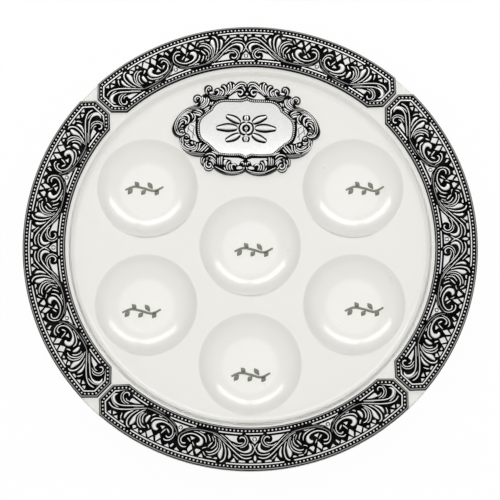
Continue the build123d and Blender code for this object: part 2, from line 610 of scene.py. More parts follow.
def position_parts(tree):
    """The X, Y and Z of each point."""
    place = tree.add("GeometryNodeInputPosition")
    parts = tree.add("ShaderNodeSeparateXYZ", {"Vector": place})
    return parts, parts.out("Y"), parts.out("Z")


def moved(tree, geometry, x, y, z):
    """Geometry with new coordinates."""
    place = tree.add("ShaderNodeCombineXYZ", {"X": x, "Y": y, "Z": z})
    return tree.add("GeometryNodeSetPosition", {"Geometry": geometry, "Position": place})


def marked(tree, geometry, polish):
    """Geometry with its polish attribute."""
    sockets = {"Geometry": geometry, "Name": "polish", "Value": polish}
    return tree.add("GeometryNodeStoreNamedAttribute", sockets, data_type="FLOAT", domain="POINT")


def ridges(tree, inputs, layer, polish, steepness, lift):
    """Rounded ridges along a layer's strokes, tapered to round ends and polished along their tops."""
    along = tree.add("GeometryNodeSplineParameter").out("Length")
    to_end = along.math("MINIMUM", tree.add("GeometryNodeSplineLength") - along)
    taper = (to_end / (taper_length * MM) + blunt_end).math("MINIMUM", 1.0).math("SQRT")
    width = tree.add("GeometryNodeInputRadius") * inputs["Width Share"]
    arch = tree.add("GeometryNodeCurveArc", {
        "Resolution": arch_points, "Radius": 1.0, "Start Angle": 0.0, "Sweep Angle": math.pi}, mode="RADIUS")
    height = position_parts(tree)[1]
    shine = ((height - ridge_polish_start) * ridge_polish_growth).clamped() * polish
    profile = tree.add("GeometryNodeTransform", {
        "Geometry": marked(tree, arch, shine), "Scale": (1.0, -steepness, 1.0)})
    swept = tree.add("GeometryNodeCurveToMesh", {
        "Curve": smooth_strokes(tree, inputs[layer], inputs["Step"]),
        "Profile Curve": profile,
        "Scale": width * taper,
    })
    outwards = tree.add("GeometryNodeFlipFaces", {"Mesh": swept})
    x, y, z = position_parts(tree)
    ceiling = relief_ceiling * MM
    return moved(tree, outwards, x, y, (z / ceiling).math("TANH") * ceiling + lift * MM)


def plateaus(tree, inputs, layer, height, polish):
    """Flat raised patches inside a layer's closed outlines, dark down their sides."""
    outlines = scratch_geometry(tree, inputs[layer])
    flat = tree.add("GeometryNodeFillCurve", {"Curve": outlines}, mode="NGONS")
    block = tree.add("GeometryNodeExtrudeMesh", {
        "Mesh": flat, "Offset Scale": height * MM, "Individual": False}, mode="FACES")
    level = position_parts(tree)[2]
    return marked(tree, block, level.math("GREATER_THAN", height * MM / 2) * polish)


def with_mirror(tree, geometry):
    """Geometry together with its mirror image about the line where X is zero."""
    turned = tree.add("GeometryNodeTransform", {"Geometry": geometry, "Scale": (-1.0, 1.0, 1.0)})
    flipped = tree.add("GeometryNodeFlipFaces", {"Mesh": turned})
    return tree.add("GeometryNodeJoinGeometry", {"Geometry": [geometry, flipped]})


def beads(tree, inputs, level):
    """Half-round beads a pitch apart along the closed bead path, at a level."""
    path = scratch_geometry(tree, inputs["Bead Path"])
    radius = inputs["Bead Radius"]
    spots = tree.add("GeometryNodeCurveToPoints", {
        "Curve": path, "Length": inputs["Bead Pitch"]}, mode="LENGTH")
    ball = tree.add("GeometryNodeMeshUVSphere", {
        "Segments": bead_segments, "Rings": bead_rings, "Radius": radius})
    height = position_parts(tree)[2] / radius
    upper = tree.add("GeometryNodeDeleteGeometry", {
        "Geometry": ball, "Selection": height.math("LESS_THAN", bead_cut)}, domain="POINT")
    shine = ((height - bead_polish_start) * bead_polish_growth).clamped()
    strung = tree.add("GeometryNodeInstanceOnPoints", {
        "Points": spots, "Instance": marked(tree, upper, shine), "Scale": (1.0, 1.0, bead_flattening)})
    real = tree.add("GeometryNodeRealizeInstances", {"Geometry": strung})
    return tree.add("GeometryNodeTransform", {"Geometry": real, "Translation": (0.0, 0.0, level * MM)})


def dressing_tree(name, put_in_place, bead_level):
    """Dresses a stamping's shell: mirrored layers of ornament, put in place, and a string of beads."""
    sockets = dict.fromkeys((*stroke_layers, *patch_layers, "Bead Path"), "NodeSocketObject")
    sockets |= dict.fromkeys(("Step", "Width Share", "Bead Pitch", "Bead Radius"), "NodeSocketFloat")
    tree, inputs = geometry_tree(name, sockets)
    layers = [ridges(tree, inputs, layer, *look) for layer, look in stroke_layers.items()]
    layers += [plateaus(tree, inputs, layer, *look) for layer, look in patch_layers.items()]
    half = tree.add("GeometryNodeJoinGeometry", {"Geometry": layers})
    ornament = put_in_place(tree, with_mirror(tree, half))
    string = beads(tree, inputs, bead_level)
    joined = tree.add("GeometryNodeJoinGeometry", {"Geometry": [inputs["Geometry"], ornament, string]})
    finished_tree(tree, joined, silver)
    return tree


def stamped_mesh(name, shell, tree, ornament, line_share, bead_path, pitch, radius):
    """A stamping's mesh: its shell, dressed by a tree that is fed the ornament's strokes and sizes."""
    strokes = {layer: stroke_curves(layer, ornament[layer]) for layer in stroke_layers}
    strokes |= {layer: stroke_curves(layer, ornament[layer], closed=True) for layer in patch_layers}
    strokes["Bead Path"] = stroke_curves("Bead Path", {"path": bead_path}, closed=True)
    sizes = {
        "Step": stroke_step * MM,
        "Width Share": line_share,
        "Bead Pitch": pitch * MM,
        "Bead Radius": radius * MM,
    }
    mesh = grown_mesh(name, tree, strokes | sizes, shell)
    for curves in strokes.values():
        bpy.data.curves.remove(curves.data)
    return mesh


# Rim plaques

# Half of a plaque's ornament, layer by layer. X runs along the plaque from its middle, and Y is the radius.
# A point is (x, y) or (x, y, width).
plaque_ridges = {
    "top plume": (
        (2.8, 188, 0.9), (4.7, 188.9, 1.2), (7.4, 189.3), (10.1, 188.8), (12.6, 187.4), (15.6, 185.1, 1.1),
        (18.9, 182.3), (22.2, 179.6, 1.0), (25.2, 177.4, 0.8), (28.2, 175.2, 0.65), (31.4, 173.1, 0.6),
        (34.4, 171.7), (38, 170.7, 0.5)),
    "second plume": (
        (-3, 176.3, 0.6), (-1.2, 178.3, 0.9), (0, 180.8), (1.8, 184.2), (4.3, 185.9), (7.6, 186.4),
        (11, 186, 0.8), (12.6, 185.4, 0.5)),
    "third plume": (
        (5.2, 175.8, 0.6), (4.3, 177.5, 1.8), (3.7, 179.3, 2.8), (3.9, 181.2, 3.1), (5.2, 182.8, 2.9),
        (7.8, 183.7, 2), (10.5, 183.6, 1.2), (13.5, 182.4), (16.5, 180.5), (19.8, 178.1), (23, 175.3, 0.9),
        (26, 173.1, 0.7), (29, 171.3, 0.6), (31.5, 170.3, 0.5)),
    "stem line": ((24.5, 176.3, 0.3), (28, 173.9, 0.4), (31.4, 171.9), (34, 170.9, 0.3)),
    "volute": (
        (19.3, 176.8, 0.5), (17.2, 178.3, 0.9), (14.7, 178.8, 1.0), (12.2, 178.5), (10, 177.3),
        (8.7, 175.7), (8.2, 174.1), (8.7, 172.6, 1.1), (9.8, 171.5, 1.3), (11.6, 171), (13, 171.7, 1.5),
        (13.3, 172.8)),
    "volute arc": ((10.4, 175.6, 0.5), (12.2, 176.3, 0.9), (14.3, 176.3), (16.4, 175.6, 0.6)),
    "volute outer line": (
        (13, 180.1, 0.5), (10.1, 179.5, 0.8), (8, 178.3), (6.7, 176.5), (6.1, 174.5), (6.5, 172.4),
        (7.7, 170.6), (9.4, 169.4, 0.6)),
    "diagonal leaf": ((13.6, 190.9, 0.6), (15, 189.5, 1.0), (16.8, 187.9, 0.9), (18.4, 186.2, 0.4)),
    "slim leaf": (
        (21.9, 190.4, 0.6), (21.2, 188.4, 2.5), (21.1, 186, 2.4), (21.9, 183.4, 1.6), (23.4, 180.6, 0.5)),
    "tall leaf": (
        (29, 194, 0.8), (26.9, 193.1, 1.4), (25.4, 191.4), (24.7, 189), (24.6, 186, 1.3), (25, 183.2, 1.1),
        (25.8, 180.7), (26.8, 178.6, 0.9), (28, 177, 0.6)),
    "broad leaf": (
        (28.4, 191.4, 0.6), (28.8, 189.6, 3.3), (29, 187.4, 4.6), (28.6, 185, 3.6), (28.2, 182.6, 2.2),
        (28.7, 180, 1.1), (29.7, 177.2, 0.8), (31, 175.2, 0.6), (32.2, 174, 0.4)),
    "fan first": (
        (39.2, 189.2, 0.8), (36.8, 189, 1.0), (34.4, 187.9), (32.2, 186), (30.9, 183.8),
        (30.4, 181.4, 0.8), (30.6, 178.6, 0.6), (31.6, 176, 0.5), (33.2, 173.8, 0.4)),
    "fan second": (
        (41.2, 186.6, 1.0), (39.6, 187.2, 1.2), (37.4, 186.9), (35.2, 185.7), (33.4, 183.8),
        (32.3, 181.8, 0.9), (32.2, 179.6, 0.7), (32.7, 177.4, 0.5)),
    "fan third": (
        (37.6, 184, 0.9), (36, 182.5, 1.1), (34.8, 181), (34.1, 179.1, 1.0), (34.3, 177, 0.9),
        (35.1, 174.9, 0.6)),
    "fan fourth": ((40.2, 183.2, 0.7), (39.2, 181.3, 1.4), (38, 179.6), (37, 178, 0.8)),
    "fan fifth": ((39, 178, 0.7), (39.8, 176, 1.1), (41, 174, 1.0), (42.6, 172.6, 0.6)),
    "fan root": ((36, 177.4, 0.5), (36.9, 175.4, 0.8), (38.3, 173.2, 0.6)),
    "root bead": ((34.6, 174.4, 0.7), (35.8, 173.4, 1.0), (37.2, 172.6, 0.7)),
    "lower line": (
        (42.4, 179.7, 0.7), (43, 177.3, 1.2), (44.6, 175), (46.9, 173.8), (49.8, 172.7, 1.0),
        (52.7, 172.3, 0.8), (55.5, 172.5, 0.5)),
    "heart": (
        (50.8, 181.9, 1.2), (49, 182.4, 3.4), (47.2, 181.5, 4.7), (46.6, 179.4, 3.9), (47.4, 177.4, 2.7),
        (50, 175.7, 1.5), (53.5, 174.9, 1.3), (57, 175.1, 1.2), (60.5, 176.7, 1.1), (62.9, 178.8),
        (64.2, 181.3), (63.9, 183.5), (62.4, 184.9, 1.2), (60.6, 184.8, 1.4), (59.1, 184.1, 1.2)),
    "outer scroll": (
        (58, 186.8, 0.9), (59.6, 187.9, 1.2), (62.3, 187.8), (64.4, 186.3, 1.0), (65.8, 184.2, 0.8),
        (66.5, 181.5, 0.7), (66.3, 178.5, 0.5)),
    "stem bud": ((45.2, 170.8, 1.1), (46.5, 171.6, 1.0), (49, 171.4, 0.8), (50.4, 171.1, 0.5)),
    "ribbon": ((41.4, 183.4, 0.7), (43.6, 184.3, 0.9), (44.8, 185.5, 0.7)),
    "lattice strip": ((40.5, 190.8, 0.6), (42, 189.6, 1.0), (43.3, 187.6, 0.8)),
    "lattice bar": ((51.5, 184.6, 0.7), (52.8, 183.4, 0.9), (54, 181.7, 0.7)),
    "inner bar": ((55.6, 182.1, 0.8), (57.2, 180.9, 1.2), (59.2, 179.4, 1.4)),
    "far outer scroll": (
        (78.4, 187.2, 0.9), (76.5, 188, 1.2), (74.7, 187.6), (72.6, 186.1, 1.0), (71.3, 184, 0.8),
        (70.7, 181.5, 0.7), (70.5, 178.5, 0.5)),
    "far heart": (
        (77.4, 184, 1.5), (75.7, 185, 1.3), (74, 184.5, 1.1), (72.8, 182.8), (72.4, 180.7, 1.0),
        (73.2, 178.2), (75.1, 176.1, 1.1), (77.8, 174.8, 1.2), (81.6, 174.2, 1.3), (85.3, 174.7, 1.6),
        (88.2, 176.2, 3), (90.1, 178.3, 4.1), (90.2, 180.6, 4.9), (88.8, 182.2, 4.3), (87, 182.6, 3.2),
        (85.6, 181.4, 1.2)),
    "far lower line": (
        (93.9, 179.3, 0.7), (93.5, 176.7, 1.4), (92, 174.7, 1.3), (89.5, 173.4, 1.1), (86.6, 172.6, 1.0),
        (83.6, 172.2, 0.8), (80.6, 172.6, 0.5)),
    "bud leaf": ((95.6, 174.2, 0.9), (94.8, 172.9, 1.5), (93.2, 171.6, 0.7)),
    "far stem bud": ((86.6, 170.8, 0.6), (88.4, 171.4, 0.9), (90.2, 170.9, 1.2)),
    "drop leaf": (
        (97.3, 181.8, 0.8), (97.9, 179.8, 2.9), (98, 177.6, 3.4), (97.4, 175.6, 2.4), (96.9, 174.3, 0.8)),
    "far fan first": (
        (98.6, 187.8, 0.8), (101.4, 187.2, 1.0), (103.7, 185.4), (105.1, 182.8), (105.7, 180.2, 0.9),
        (105.2, 177.2, 0.7), (103.9, 174.6, 0.5)),
    "far fan second": (
        (95.6, 185.8, 1.0), (98.2, 186.2, 1.2), (100.7, 185), (102.9, 182.8), (104.2, 180.2, 0.9),
        (104.3, 177.4, 0.7), (103.2, 174.8, 0.5)),
    "far fan third": (
        (99.2, 183.4, 0.9), (101, 181.7, 1.2), (102, 179.2, 1.1), (102, 176.6, 0.9), (101, 174.6, 0.6)),
    "far broad leaf": (
        (108.3, 191, 0.6), (107.9, 188.6, 3.4), (107.6, 186, 4.5), (108, 183.4, 3.2), (107.9, 180.6, 1.4),
        (106.9, 177.6, 1.1), (105.2, 174.6, 0.9), (103.2, 172.3, 0.6)),
    "far tall leaf": (
        (107, 192.5, 0.8), (108.9, 192.6, 1.4), (110.8, 191.1), (112.1, 188.2), (112.1, 184.9, 1.3),
        (111.4, 181.5, 1.1), (110.2, 178.6, 1.0), (108.3, 175.6, 0.7)),
    "far slim leaf": (
        (114.8, 189, 0.6), (115.3, 186.6, 2.3), (115.3, 184.4, 2.5), (114.2, 181.6, 1.6),
        (112.2, 178.6, 0.6)),
    "far diagonal leaf": ((116.7, 191, 0.6), (118.1, 188.9, 1.2), (118.8, 185.8, 0.5)),
    "end top plume": (
        (133.6, 185.7, 0.9), (131.7, 186.5, 1.2), (128.8, 187), (125.8, 186.3), (122.5, 184.7),
        (119.2, 182.4, 1.1), (115.8, 179.9), (112.5, 177.3, 1.0), (109.1, 174.8, 0.8),
        (105.8, 172.4, 0.65), (102.9, 170.7, 0.5)),
    "end second plume": (
        (124.2, 184, 0.5), (126.7, 184.3, 0.9), (130, 183.9), (133, 182.4), (135, 180.6, 0.8)),
    "end third plume": (
        (132.3, 175.2, 0.6), (133.6, 177.2, 1.9), (133.6, 179.4, 3), (132, 181.2, 3.1),
        (129.2, 182.3, 2.3), (125.8, 182, 1.2), (122.5, 180.6), (119.2, 178.4), (115.8, 176.1, 1.1),
        (112.5, 173.8, 0.9), (109.1, 171.5, 0.7), (106.6, 170.1, 0.5)),
    "end stem line": ((114.1, 176.2, 0.3), (110, 173.4, 0.4), (106.2, 170.9, 0.3)),
    "end volute": (
        (118.7, 176.2, 0.5), (121.7, 176.6, 0.9), (124.2, 176.3, 1.0), (126.7, 174.8), (127.9, 172.4),
        (127.5, 170.3, 1.1), (125.8, 169, 1.3), (123.9, 169.5, 1.5), (123.1, 171)),
    "end volute arc": ((119.6, 174.2, 0.6), (122.3, 174.7, 0.9), (124.3, 173.7, 0.6)),
    "end volute outer line": (
        (121.3, 178, 0.5), (124.2, 178.3, 0.8), (126.7, 177.4), (128.8, 175.3), (129.6, 172.9),
        (129.3, 170.6), (128.4, 168.8, 0.6)),
    "far lattice bar": ((81.7, 184.2, 0.8), (80.7, 181.6, 1.2), (79.3, 179, 0.8)),
    "far inner bar": ((75.4, 181.2, 1.0), (76.8, 179.8, 1.6), (78.8, 178.3, 0.8)),
    "far ribbon": ((92.6, 185.2, 0.7), (94.2, 183.5, 1.5), (95.8, 182.7, 1.0)),
}

# Dim ridges: the plaques' stems, whose grey is painted shade given as a low polish
plaque_dim_ridges = {
    "stem": (
        (33.5, 170.5, 0.6), (38, 169.9, 0.9), (44, 169.6), (50, 169.9), (54, 170.5), (57.5, 171.7),
        (61, 173.6), (64, 176.1, 0.8), (66, 178.7, 0.7), (67, 181.5, 0.5)),
    "stem lower": (
        (36, 168.7, 0.6), (41, 167.9, 0.8), (47, 167.8), (52, 168.3), (56, 169.4), (60, 171.3, 0.7),
        (63.4, 173.8, 0.5)),
    "far stem": (
        (68.4, 181, 0.5), (69.4, 178.4, 0.7), (71.4, 175.9, 0.8), (74.4, 173.7), (78, 171.9), (82, 170.6),
        (87, 169.8), (93, 169.5, 1.0), (98, 169.7), (103, 170.5, 0.7)),
    "far stem lower": (
        (72.4, 173.3, 0.5), (75.4, 171.2, 0.7), (79, 169.5, 0.8), (84, 168.2), (90, 167.6, 1.0),
        (96, 167.6), (101, 168.4, 0.7)),
    "far stem inside": ((72.6, 177.4, 0.5), (74.6, 175.4, 0.7), (77, 174.2), (79.5, 173.2, 0.5)),
}

plaque_grooves = {
    "middle ring": ((0, 174.4, 0.9), (1.2, 173.9), (1.7, 172.7), (1.2, 171.5), (0, 171)),
    "far ring": (
        (67.8, 174.5, 0.9), (69, 174), (69.4, 173), (69, 172), (67.8, 171.5), (66.6, 172), (66.2, 173),
        (66.6, 174), (67.8, 174.5)),
}

plaque_grounds = {
    "middle ground": ((0, 176.6), (1.4, 175.2), (3.3, 173.2), (4.4, 170.4), (0, 170.4)),
    "volute ground": (
        (14.4, 176.4), (17.6, 175.5), (20.8, 174.6), (22.5, 173.7), (24.5, 172.1), (27.4, 170.4),
        (15.4, 170.4), (16, 171.6), (16.2, 173), (15.8, 174.5)),
    "lozenge": ((0, 191.6), (0.8, 190.6), (1, 189.2), (0.8, 187.8), (0, 186.4)),
    "rail strip": ((1.5, 192.6), (2.2, 190.9), (4.6, 191.2), (5, 192.6)),
    "second rail strip": ((8, 192.6), (8.4, 191.4), (10.5, 191.2), (13, 190.9), (13.4, 192.6)),
    "rail triangle": ((15.9, 192.6), (16.8, 190.4), (17.5, 189.2), (18.6, 190.8), (19.8, 192.6)),
    "third rail strip": ((31, 191.8), (31.2, 190.6), (32.6, 190.5), (34.6, 191.8)),
    "fourth rail strip": ((35.6, 191.7), (35.8, 190.9), (39.8, 190.9), (39.6, 191.7)),
    "first cell": ((42.6, 192.6), (44.4, 189.6), (46.4, 192.6)),
    "second cell": ((48.1, 190.8), (45.6, 187.2), (46.6, 186.5), (49.4, 186.5), (50.2, 188)),
    "third cell": ((50.2, 192.6), (51.9, 188.9), (53.8, 192.6)),
    "fourth cell": ((55.3, 191), (52.7, 187.6), (54.4, 183.8), (55.4, 185.4), (56.6, 188.8)),
    "fifth cell": ((55.9, 192.6), (56.8, 190.8), (59.4, 190.9), (60, 192.6)),
    "sixth cell": ((62.4, 192.6), (65.4, 190.3), (66.6, 192.6)),
    "inner cell": ((55, 180.2), (52.8, 177.8), (57.2, 177.4)),
    "far ground": (
        (60.4, 170.4), (64.9, 173), (66.5, 175.4), (67.8, 177.4), (69.1, 175.4), (70.7, 173),
        (75.2, 170.4)),
    "far first cell": ((69.7, 191.8), (68.5, 188.8), (69, 187.8), (71, 190.6)),
    "far second cell": ((71.2, 192.6), (73, 190), (75.4, 192.6)),
    "far third cell": ((77.6, 192.6), (79.9, 189.6), (82.2, 192.6)),
    "first diamond": ((83.2, 192.1), (80.7, 187.7), (83, 184.6), (85, 188.2)),
    "far fourth cell": ((84.8, 192.6), (86.6, 189.5), (88.9, 192.6)),
    "second diamond": ((90.1, 192.1), (87.4, 188), (90.7, 185), (93.3, 188.3)),
    "far fifth cell": ((91.7, 192.6), (93.9, 189.5), (95.8, 192.6)),
    "far sixth cell": ((97.2, 191.6), (96.2, 190.4), (97.6, 189.6), (98.6, 190.8)),
    "far seventh cell": ((98.9, 192.6), (100.8, 189.7), (103.2, 192.6)),
    "third diamond": ((104.2, 191.9), (102.5, 189.4), (103.4, 188.4), (105.8, 189.6)),
    "end strip": ((113.3, 192.6), (113.9, 191.2), (116.4, 191.3), (117, 192.6)),
    "end triangle": ((119.2, 192.6), (121, 190.2), (122.9, 192.6)),
    "fourth diamond": ((124.3, 191.6), (122.5, 188.7), (125.9, 189.2)),
    "last triangle": ((125.8, 192.6), (127.6, 190.2), (129.2, 192.6)),
    "end volute ground": ((119.9, 174.4), (115, 172.9), (110.4, 170.4), (119.3, 170.4), (119.9, 172)),
    "far inner cell": ((82.2, 180.3), (81.2, 177.2), (84.9, 178.4)),
}

plaque_shades = {
    "rail gap": ((23.3, 195.2), (23.3, 192.9), (31.6, 192.9), (31.6, 195.2)),
    "far rail gap": ((105.2, 195.2), (105.2, 192.9), (110.2, 192.9), (110.2, 195.2)),
    "rail nick": ((7.5, 169.3), (8.2, 167.2), (11.2, 167.2), (12, 169.3)),
    "stem gap": ((32.8, 169.3), (33.6, 167.1), (54, 167.1), (54.8, 169.3)),
    "far stem gap": ((79.6, 169.3), (80.4, 167.1), (103.4, 167.1), (104.4, 169.3)),
    "end nick": (
        (120, 169.3), (120.8, 167.1), (127.4, 167.1), (129.8, 169.2), (132.6, 172.2), (133, 174),
        (131, 174), (128, 170.8), (126.4, 169.3)),
}


def end_sizes(inset):
    """Half the slit and the leg of the chamfer at a plaque's end, moved inwards by inset."""
    return plaque_end_slit / 2 + inset, plaque_end_chamfer - (2 - math.sqrt(2)) * inset


def plaque_ring(inset):
    """The back plaque's outline moved inwards by inset, as points in order."""
    outer = plaque_outer_radius - inset
    inner = plaque_inner_radius + inset
    end, cut = end_sizes(inset)
    along = Vector((math.sqrt(0.5), math.sqrt(0.5)))
    across = Vector((-math.sqrt(0.5), math.sqrt(0.5)))
    arcs = []
    for radius in (outer, inner):
        corner = along * math.sqrt(radius**2 - (end + cut) ** 2) + across * (end + cut)
        half_span = math.atan2(corner.x, corner.y)
        angles = [half_span * (1 - 2 * step / plaque_arc_steps) for step in range(plaque_arc_steps + 1)]
        arcs.append([(radius * math.sin(angle), radius * math.cos(angle)) for angle in angles])
    high = along * (outer - cut) + across * end
    low = along * (inner + cut) + across * end
    left = [(-high.x, high.y), (-low.x, low.y)]
    right = [(low.x, low.y), (high.x, high.y)]
    return [*arcs[0], *left, *reversed(arcs[1]), *right]


def plaque_shell():
    """The stamped shell under the ornament: hollow back, bevelled edge with painted shade and a painted
    highlight, bead channel, rail and panel.
    """
    # Inset from the outline, height above the rim and polish, from the hollow back over the edge to the
    # panel. On the edge, the dark outer wall and bevel are painted shade, and the bright line along its top
    # is a painted highlight.
    profile = (
        (shell_wall, hollow_depth, hollow_polish),
        (shell_wall, 0.0, hollow_polish),
        (0.0, 0.0, 0.0),
        (0.0, stamping_height - edge_bevel, 0.0),
        (0.45, stamping_height - 0.2, 0.0),
        (0.7, stamping_height - 0.05, 0.3),
        (edge_bevel, stamping_height, 0.42),
        (1.3, stamping_height, 0.42),
        (1.5, stamping_height - 0.2, 0.0),
        (1.6, stamping_height - 1.0, 0.0),
        (4.9, stamping_height - 1.05, 0.0),
        (5.05, stamping_height - 1.0, 1.0),
        (5.45, stamping_height - 0.97, 1.0),
        (5.85, stamping_height - 1.0, 1.0),
        (6.0, stamping_height - 1.1, 0.0),
        (plaque_border, ground_height, 0.0),
    )
    bm = bmesh.new()
    bm.verts.layers.float.new("polish")
    rings = [
        polished_ring(bm, plaque_ring(inset), rim_top + height, polish)
        for inset, height, polish in profile
    ]
    skin(bm, rings)
    caps = [bm.faces.new(rings[0]), bm.faces.new(rings[-1])]
    bmesh.ops.triangulate(bm, faces=caps)
    return closed_mesh(bm, "plaque_shell")


def panel_reach(x, y):
    """How far a point of the back plaque lies inside the lines that trim its scrollwork at the ends."""
    end, cut = end_sizes(plaque_trim)
    side = x.math("ABSOLUTE")
    along = (side + y) * math.sqrt(0.5)
    across = (y - side) * math.sqrt(0.5)
    upper_chamfer = across - along + (plaque_outer_radius - plaque_trim - end - cut) * MM
    lower_chamfer = across + along - (plaque_inner_radius + plaque_trim + end + cut) * MM
    return (across - end * MM).math("MINIMUM", upper_chamfer).math("MINIMUM", lower_chamfer)


def bent_round_rim(tree, ornament):
    """A plaque's straight ornament, bent round the rim and trimmed at the ends."""
    x, y, z = position_parts(tree)
    turn = x / (plaque_middle_radius * MM)
    lift = (rim_top + ground_height) * MM
    bent = moved(tree, ornament, y * turn.math("SINE"), y * turn.math("COSINE"), z + lift)
    x, y, z = position_parts(tree)
    outside = panel_reach(x, y).math("LESS_THAN", 0.0)
    return tree.add("GeometryNodeDeleteGeometry", {"Geometry": bent, "Selection": outside}, domain="POINT")


def rim_plaques():
    """The four stamped plaques round the rim."""
    ornament = {
        "Ridges": plaque_ridges,
        "Dull Ridges": plaque_dim_ridges,
        "Grooves": plaque_grooves,
        "Grounds": plaque_grounds,
        "Shades": plaque_shades,
    }
    bead_level = rim_top + stamping_height - bead_channel_depth
    tree = dressing_tree("plaque_dressing", bent_round_rim, bead_level)
    pattern = stamped_mesh(
        "rim_plaque", plaque_shell(), tree, ornament, plaque_line_share,
        plaque_ring(bead_inset), bead_pitch, bead_radius)
    for side, bearing in plaque_bearings.items():
        mesh = pattern.copy()
        turn = bearing - plaque_bearings["back"] + plaque_ring_turn
        mesh.transform(Matrix.Rotation(math.radians(turn), 4, "Z"))
        mesh.set_sharp_from_angle(angle=math.radians(sharp_angle))
        placed_piece(f"plaque_{side}_stamped", mesh, "antique_silver", f"rim_plaque_{side}")


# Cartouche

# Outline and field, right half from top to bottom: where each lobe starts, as shares of the half width and
# the half height, and how far the lobe swells, as a share of its chord
cartouche_lobes = (
    (0.000, 0.918, 0.30),
    (0.158, 0.916, 0.37),
    (0.280, 0.902, 0.39),
    (0.358, 0.827, 0.38),
    (0.444, 0.718, -0.05),
    (0.508, 0.711, 3.00),
    (0.548, 0.718, 0.10),
    (0.614, 0.653, 0.72),
    (0.681, 0.511, -0.10),
    (0.720, 0.456, 0.14),
    (1.000, -0.033, 0.18),
    (0.904, -0.204, 0.22),
    (0.593, -0.589, 0.22),
    (0.560, -0.791, 0.39),
    (0.428, -0.824, 0.17),
    (0.000, -0.876, 0.00),
)
field_lobes = (
    (0.000, 1.000, -0.05),
    (0.145, 0.932, 0.01),
    (0.500, 0.926, 0.15),
    (0.735, 0.615, 0.02),
    (0.940, 0.345, 0.10),
    (1.000, 0.000, 0.06),
    (0.960, -0.330, 0.06),
    (0.830, -0.494, 0.01),
    (0.710, -0.660, 0.03),
    (0.565, -0.865, 0.03),
    (0.125, -0.880, -0.05),
    (0.000, -0.975, 0.00),
)

